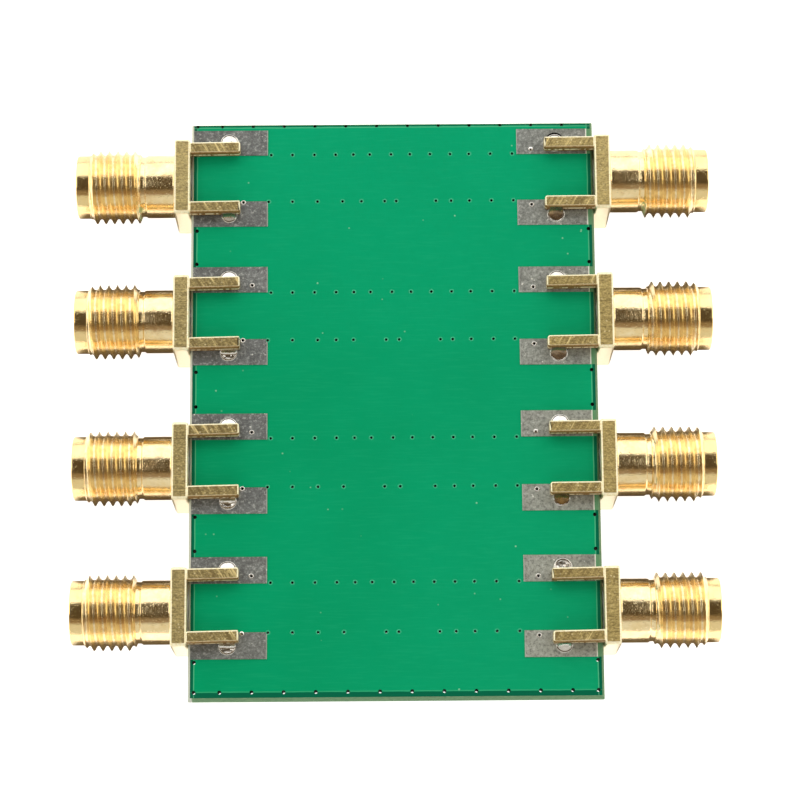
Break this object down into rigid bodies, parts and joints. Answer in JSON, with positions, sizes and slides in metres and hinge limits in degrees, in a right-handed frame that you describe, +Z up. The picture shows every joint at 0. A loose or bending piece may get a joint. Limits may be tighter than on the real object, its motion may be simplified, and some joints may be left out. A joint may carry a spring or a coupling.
{
  "type": "rf attenuator module",
  "caption": "Bare green circuit board with coaxial screw jacks soldered along both long edges, each pair joined by a printed line with chip resistors under the board.",
  "frame": {"origin": "under the middle of the module, on the surface that its eight square flanges rest on", "axes": "+X from the board to the right-hand jacks, +Y up the board as pictured, +Z up out of the ground face, which is the face that the picture shows"},
  "size_m": [0.0518, 0.0476, 0.0063],
  "materials": {
    "green_board": "glossy green solder mask over glass-fibre laminate, pale snapped edges",
    "tinned_copper": "dull grey tinned copper with bright specks and fine scratches",
    "gold_plate": "gold-plated brass, bright on the turned barrel and matte on the milled flange and legs",
    "white_insulator": "white fluoropolymer",
    "contact_gold": "gold-plated spring alloy",
    "solder": "bright solder",
    "chip_ceramic": "black glazed resistor over white ceramic, unprinted",
    "chip_metal": "tinned chip ends"
  },
  "bodies": {
    "root": {"circuit_board": "green_board", "ground_face_pads": "tinned_copper", "component_face_pads": "tinned_copper", "signal_traces": "tinned_copper", "jack_l1_shell": "gold_plate", "jack_l1_insulator": "white_insulator", "jack_l1_contact": "contact_gold", "jack_l1_solder": "solder", "jack_l2_shell": "gold_plate", "jack_l2_insulator": "white_insulator", "jack_l2_contact": "contact_gold", "jack_l2_solder": "solder", "jack_l3_shell": "gold_plate", "jack_l3_insulator": "white_insulator", "jack_l3_contact": "contact_gold", "jack_l3_solder": "solder", "jack_l4_shell": "gold_plate", "jack_l4_insulator": "white_insulator", "jack_l4_contact": "contact_gold", "jack_l4_solder": "solder", "jack_r1_shell": "gold_plate", "jack_r1_insulator": "white_insulator", "jack_r1_contact": "contact_gold", "jack_r1_solder": "solder", "jack_r2_shell": "gold_plate", "jack_r2_insulator": "white_insulator", "jack_r2_contact": "contact_gold", "jack_r2_solder": "solder", "jack_r3_shell": "gold_plate", "jack_r3_insulator": "white_insulator", "jack_r3_contact": "contact_gold", "jack_r3_solder": "solder", "jack_r4_shell": "gold_plate", "jack_r4_insulator": "white_insulator", "jack_r4_contact": "contact_gold", "jack_r4_solder": "solder", "row_1_series_chip": "chip_ceramic", "row_1_shunt_chip_a": "chip_ceramic", "row_1_shunt_chip_b": "chip_ceramic", "row_1_chip_ends": "chip_metal", "row_1_chip_solder": "solder", "row_2_series_chip": "chip_ceramic", "row_2_shunt_chip_a": "chip_ceramic", "row_2_shunt_chip_b": "chip_ceramic", "row_2_chip_ends": "chip_metal", "row_2_chip_solder": "solder", "row_3_series_chip": "chip_ceramic", "row_3_shunt_chip_a": "chip_ceramic", "row_3_shunt_chip_b": "chip_ceramic", "row_3_chip_ends": "chip_metal", "row_3_chip_solder": "solder", "row_4_series_chip": "chip_ceramic", "row_4_shunt_chip_a": "chip_ceramic", "row_4_shunt_chip_b": "chip_ceramic", "row_4_chip_ends": "chip_metal", "row_4_chip_solder": "solder"}
  },
  "joints": []
}
